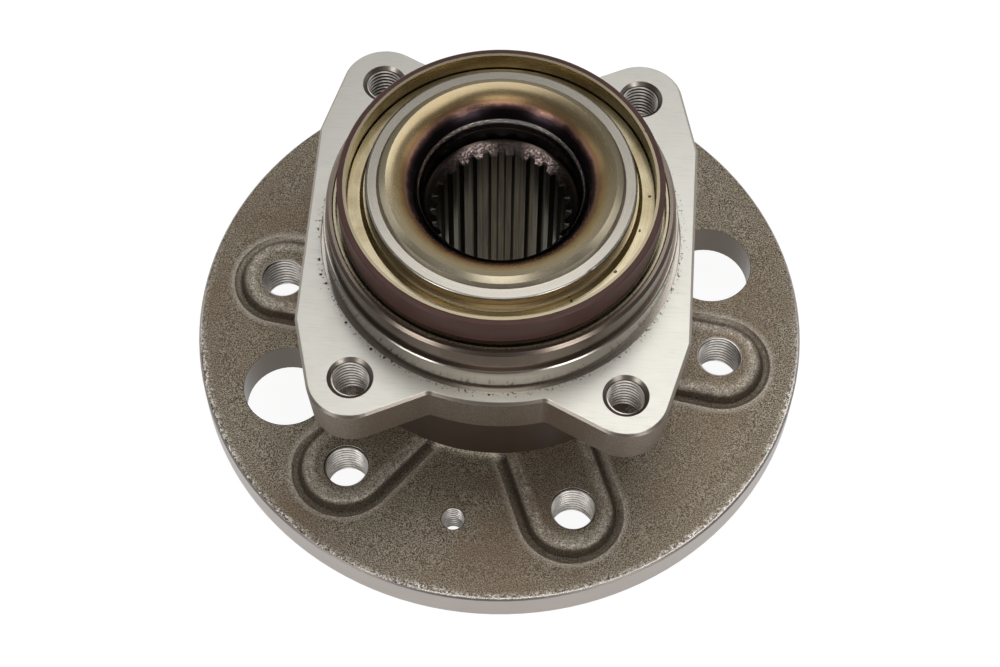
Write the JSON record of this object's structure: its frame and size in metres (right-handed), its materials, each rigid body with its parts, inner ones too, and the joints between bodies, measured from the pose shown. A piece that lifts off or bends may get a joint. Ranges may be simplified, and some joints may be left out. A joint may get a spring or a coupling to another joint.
{
  "type": "wheel hub bearing",
  "caption": "Forged wheel hub turning on balls in an eared outer ring, with threaded wheel-bolt holes, a splined bore, a rolled nose, seals and an encoder ring.",
  "frame": {"origin": "centre of the wheel-mounting face, on the spin axis", "axes": "+Z along the spin axis from the wheel side toward the vehicle; X and Y along the sides of the rectangle of knuckle-bolt holes"},
  "size_m": [0.176, 0.176, 0.0982],
  "materials": {
    "forged_steel": "forged, blasted",
    "machined_steel": "turned and milled",
    "ground_steel": "ground",
    "ball_steel": "lapped",
    "passivated_sheet": "gold passivated",
    "seal_sheet": "plain sheet",
    "magnetised_elastomer": "satin",
    "seal_rubber": "matte",
    "cage_polymer": "moulded"
  },
  "bodies": {
    "outer_ring_unit": {"outer_ring": "machined_steel", "inboard_seal_case": "seal_sheet", "inboard_seal_lip": "seal_rubber", "outboard_seal_case": "seal_sheet", "outboard_seal_lip": "seal_rubber"},
    "hub_unit": {"hub": "forged_steel", "inner_ring": "ground_steel", "inboard_slinger": "passivated_sheet", "encoder_carrier": "passivated_sheet", "encoder_ring": "magnetised_elastomer", "cover_ring": "passivated_sheet"},
    "cage_outboard": {"cage_outboard": "cage_polymer"},
    "cage_inboard": {"cage_inboard": "cage_polymer"},
    "ball_outboard_01": {"ball_outboard_01": "ball_steel"},
    "ball_outboard_02": {"ball_outboard_02": "ball_steel"},
    "ball_outboard_03": {"ball_outboard_03": "ball_steel"},
    "ball_outboard_04": {"ball_outboard_04": "ball_steel"},
    "ball_outboard_05": {"ball_outboard_05": "ball_steel"},
    "ball_outboard_06": {"ball_outboard_06": "ball_steel"},
    "ball_outboard_07": {"ball_outboard_07": "ball_steel"},
    "ball_outboard_08": {"ball_outboard_08": "ball_steel"},
    "ball_outboard_09": {"ball_outboard_09": "ball_steel"},
    "ball_outboard_10": {"ball_outboard_10": "ball_steel"},
    "ball_outboard_11": {"ball_outboard_11": "ball_steel"},
    "ball_outboard_12": {"ball_outboard_12": "ball_steel"},
    "ball_outboard_13": {"ball_outboard_13": "ball_steel"},
    "ball_outboard_14": {"ball_outboard_14": "ball_steel"},
    "ball_outboard_15": {"ball_outboard_15": "ball_steel"},
    "ball_inboard_01": {"ball_inboard_01": "ball_steel"},
    "ball_inboard_02": {"ball_inboard_02": "ball_steel"},
    "ball_inboard_03": {"ball_inboard_03": "ball_steel"},
    "ball_inboard_04": {"ball_inboard_04": "ball_steel"},
    "ball_inboard_05": {"ball_inboard_05": "ball_steel"},
    "ball_inboard_06": {"ball_inboard_06": "ball_steel"},
    "ball_inboard_07": {"ball_inboard_07": "ball_steel"},
    "ball_inboard_08": {"ball_inboard_08": "ball_steel"},
    "ball_inboard_09": {"ball_inboard_09": "ball_steel"},
    "ball_inboard_10": {"ball_inboard_10": "ball_steel"},
    "ball_inboard_11": {"ball_inboard_11": "ball_steel"},
    "ball_inboard_12": {"ball_inboard_12": "ball_steel"},
    "ball_inboard_13": {"ball_inboard_13": "ball_steel"},
    "ball_inboard_14": {"ball_inboard_14": "ball_steel"},
    "ball_inboard_15": {"ball_inboard_15": "ball_steel"}
  },
  "joints": [
    {"name": "hub_spin", "type": "hinge", "parent": "outer_ring_unit", "child": "hub_unit", "pos_m": [0, 0, 0.05], "axis": [0, 0, 1], "continuous": true},
    {"name": "cage_outboard_spin", "type": "hinge", "parent": "outer_ring_unit", "child": "cage_outboard", "pos_m": [0, 0, 0.0405], "axis": [0, 0, 1], "continuous": true},
    {"name": "ball_outboard_01_spin", "type": "hinge", "parent": "cage_outboard", "child": "ball_outboard_01", "pos_m": [0.038, 0, 0.0405], "axis": [-0.5878, 0, 0.809], "continuous": true},
    {"name": "ball_outboard_02_spin", "type": "hinge", "parent": "cage_outboard", "child": "ball_outboard_02", "pos_m": [0.03472, 0.01546, 0.0405], "axis": [-0.537, -0.2391, 0.809], "continuous": true},
    {"name": "ball_outboard_03_spin", "type": "hinge", "parent": "cage_outboard", "child": "ball_outboard_03", "pos_m": [0.02543, 0.02824, 0.0405], "axis": [-0.3933, -0.4368, 0.809], "continuous": true},
    {"name": "ball_outboard_04_spin", "type": "hinge", "parent": "cage_outboard", "child": "ball_outboard_04", "pos_m": [0.01174, 0.03614, 0.0405], "axis": [-0.1816, -0.559, 0.809], "continuous": true},
    {"name": "ball_outboard_05_spin", "type": "hinge", "parent": "cage_outboard", "child": "ball_outboard_05", "pos_m": [-0.00397, 0.03779, 0.0405], "axis": [0.0614, -0.5846, 0.809], "continuous": true},
    {"name": "ball_outboard_06_spin", "type": "hinge", "parent": "cage_outboard", "child": "ball_outboard_06", "pos_m": [-0.019, 0.03291, 0.0405], "axis": [0.2939, -0.509, 0.809], "continuous": true},
    {"name": "ball_outboard_07_spin", "type": "hinge", "parent": "cage_outboard", "child": "ball_outboard_07", "pos_m": [-0.03074, 0.02234, 0.0405], "axis": [0.4755, -0.3455, 0.809], "continuous": true},
    {"name": "ball_outboard_08_spin", "type": "hinge", "parent": "cage_outboard", "child": "ball_outboard_08", "pos_m": [-0.03717, 0.0079, 0.0405], "axis": [0.5749, -0.1222, 0.809], "continuous": true},
    {"name": "ball_outboard_09_spin", "type": "hinge", "parent": "cage_outboard", "child": "ball_outboard_09", "pos_m": [-0.03717, -0.0079, 0.0405], "axis": [0.5749, 0.1222, 0.809], "continuous": true},
    {"name": "ball_outboard_10_spin", "type": "hinge", "parent": "cage_outboard", "child": "ball_outboard_10", "pos_m": [-0.03074, -0.02234, 0.0405], "axis": [0.4755, 0.3455, 0.809], "continuous": true},
    {"name": "ball_outboard_11_spin", "type": "hinge", "parent": "cage_outboard", "child": "ball_outboard_11", "pos_m": [-0.019, -0.03291, 0.0405], "axis": [0.2939, 0.509, 0.809], "continuous": true},
    {"name": "ball_outboard_12_spin", "type": "hinge", "parent": "cage_outboard", "child": "ball_outboard_12", "pos_m": [-0.00397, -0.03779, 0.0405], "axis": [0.0614, 0.5846, 0.809], "continuous": true},
    {"name": "ball_outboard_13_spin", "type": "hinge", "parent": "cage_outboard", "child": "ball_outboard_13", "pos_m": [0.01174, -0.03614, 0.0405], "axis": [-0.1816, 0.559, 0.809], "continuous": true},
    {"name": "ball_outboard_14_spin", "type": "hinge", "parent": "cage_outboard", "child": "ball_outboard_14", "pos_m": [0.02543, -0.02824, 0.0405], "axis": [-0.3933, 0.4368, 0.809], "continuous": true},
    {"name": "ball_outboard_15_spin", "type": "hinge", "parent": "cage_outboard", "child": "ball_outboard_15", "pos_m": [0.03472, -0.01546, 0.0405], "axis": [-0.537, 0.2391, 0.809], "continuous": true},
    {"name": "cage_inboard_spin", "type": "hinge", "parent": "outer_ring_unit", "child": "cage_inboard", "pos_m": [0, 0, 0.06], "axis": [0, 0, 1], "continuous": true},
    {"name": "ball_inboard_01_spin", "type": "hinge", "parent": "cage_inboard", "child": "ball_inboard_01", "pos_m": [0.038, 0, 0.06], "axis": [0.5878, 0, 0.809], "continuous": true},
    {"name": "ball_inboard_02_spin", "type": "hinge", "parent": "cage_inboard", "child": "ball_inboard_02", "pos_m": [0.03472, 0.01546, 0.06], "axis": [0.537, 0.2391, 0.809], "continuous": true},
    {"name": "ball_inboard_03_spin", "type": "hinge", "parent": "cage_inboard", "child": "ball_inboard_03", "pos_m": [0.02543, 0.02824, 0.06], "axis": [0.3933, 0.4368, 0.809], "continuous": true},
    {"name": "ball_inboard_04_spin", "type": "hinge", "parent": "cage_inboard", "child": "ball_inboard_04", "pos_m": [0.01174, 0.03614, 0.06], "axis": [0.1816, 0.559, 0.809], "continuous": true},
    {"name": "ball_inboard_05_spin", "type": "hinge", "parent": "cage_inboard", "child": "ball_inboard_05", "pos_m": [-0.00397, 0.03779, 0.06], "axis": [-0.0614, 0.5846, 0.809], "continuous": true},
    {"name": "ball_inboard_06_spin", "type": "hinge", "parent": "cage_inboard", "child": "ball_inboard_06", "pos_m": [-0.019, 0.03291, 0.06], "axis": [-0.2939, 0.509, 0.809], "continuous": true},
    {"name": "ball_inboard_07_spin", "type": "hinge", "parent": "cage_inboard", "child": "ball_inboard_07", "pos_m": [-0.03074, 0.02234, 0.06], "axis": [-0.4755, 0.3455, 0.809], "continuous": true},
    {"name": "ball_inboard_08_spin", "type": "hinge", "parent": "cage_inboard", "child": "ball_inboard_08", "pos_m": [-0.03717, 0.0079, 0.06], "axis": [-0.5749, 0.1222, 0.809], "continuous": true},
    {"name": "ball_inboard_09_spin", "type": "hinge", "parent": "cage_inboard", "child": "ball_inboard_09", "pos_m": [-0.03717, -0.0079, 0.06], "axis": [-0.5749, -0.1222, 0.809], "continuous": true},
    {"name": "ball_inboard_10_spin", "type": "hinge", "parent": "cage_inboard", "child": "ball_inboard_10", "pos_m": [-0.03074, -0.02234, 0.06], "axis": [-0.4755, -0.3455, 0.809], "continuous": true},
    {"name": "ball_inboard_11_spin", "type": "hinge", "parent": "cage_inboard", "child": "ball_inboard_11", "pos_m": [-0.019, -0.03291, 0.06], "axis": [-0.2939, -0.509, 0.809], "continuous": true},
    {"name": "ball_inboard_12_spin", "type": "hinge", "parent": "cage_inboard", "child": "ball_inboard_12", "pos_m": [-0.00397, -0.03779, 0.06], "axis": [-0.0614, -0.5846, 0.809], "continuous": true},
    {"name": "ball_inboard_13_spin", "type": "hinge", "parent": "cage_inboard", "child": "ball_inboard_13", "pos_m": [0.01174, -0.03614, 0.06], "axis": [0.1816, -0.559, 0.809], "continuous": true},
    {"name": "ball_inboard_14_spin", "type": "hinge", "parent": "cage_inboard", "child": "ball_inboard_14", "pos_m": [0.02543, -0.02824, 0.06], "axis": [0.3933, -0.4368, 0.809], "continuous": true},
    {"name": "ball_inboard_15_spin", "type": "hinge", "parent": "cage_inboard", "child": "ball_inboard_15", "pos_m": [0.03472, -0.01546, 0.06], "axis": [0.537, -0.2391, 0.809], "continuous": true}
  ],
  "couplings": [
    {"joint": "cage_outboard_spin", "follows": "hub_spin", "ratio": 0.4324},
    {"joint": "ball_outboard_01_spin", "follows": "hub_spin", "ratio": -2.9374},
    {"joint": "ball_outboard_02_spin", "follows": "hub_spin", "ratio": -2.9374},
    {"joint": "ball_outboard_03_spin", "follows": "hub_spin", "ratio": -2.9374},
    {"joint": "ball_outboard_04_spin", "follows": "hub_spin", "ratio": -2.9374},
    {"joint": "ball_outboard_05_spin", "follows": "hub_spin", "ratio": -2.9374},
    {"joint": "ball_outboard_06_spin", "follows": "hub_spin", "ratio": -2.9374},
    {"joint": "ball_outboard_07_spin", "follows": "hub_spin", "ratio": -2.9374},
    {"joint": "ball_outboard_08_spin", "follows": "hub_spin", "ratio": -2.9374},
    {"joint": "ball_outboard_09_spin", "follows": "hub_spin", "ratio": -2.9374},
    {"joint": "ball_outboard_10_spin", "follows": "hub_spin", "ratio": -2.9374},
    {"joint": "ball_outboard_11_spin", "follows": "hub_spin", "ratio": -2.9374},
    {"joint": "ball_outboard_12_spin", "follows": "hub_spin", "ratio": -2.9374},
    {"joint": "ball_outboard_13_spin", "follows": "hub_spin", "ratio": -2.9374},
    {"joint": "ball_outboard_14_spin", "follows": "hub_spin", "ratio": -2.9374},
    {"joint": "ball_outboard_15_spin", "follows": "hub_spin", "ratio": -2.9374},
    {"joint": "cage_inboard_spin", "follows": "hub_spin", "ratio": 0.4324},
    {"joint": "ball_inboard_01_spin", "follows": "hub_spin", "ratio": -2.9374},
    {"joint": "ball_inboard_02_spin", "follows": "hub_spin", "ratio": -2.9374},
    {"joint": "ball_inboard_03_spin", "follows": "hub_spin", "ratio": -2.9374},
    {"joint": "ball_inboard_04_spin", "follows": "hub_spin", "ratio": -2.9374},
    {"joint": "ball_inboard_05_spin", "follows": "hub_spin", "ratio": -2.9374},
    {"joint": "ball_inboard_06_spin", "follows": "hub_spin", "ratio": -2.9374},
    {"joint": "ball_inboard_07_spin", "follows": "hub_spin", "ratio": -2.9374},
    {"joint": "ball_inboard_08_spin", "follows": "hub_spin", "ratio": -2.9374},
    {"joint": "ball_inboard_09_spin", "follows": "hub_spin", "ratio": -2.9374},
    {"joint": "ball_inboard_10_spin", "follows": "hub_spin", "ratio": -2.9374},
    {"joint": "ball_inboard_11_spin", "follows": "hub_spin", "ratio": -2.9374},
    {"joint": "ball_inboard_12_spin", "follows": "hub_spin", "ratio": -2.9374},
    {"joint": "ball_inboard_13_spin", "follows": "hub_spin", "ratio": -2.9374},
    {"joint": "ball_inboard_14_spin", "follows": "hub_spin", "ratio": -2.9374},
    {"joint": "ball_inboard_15_spin", "follows": "hub_spin", "ratio": -2.9374}
  ]
}
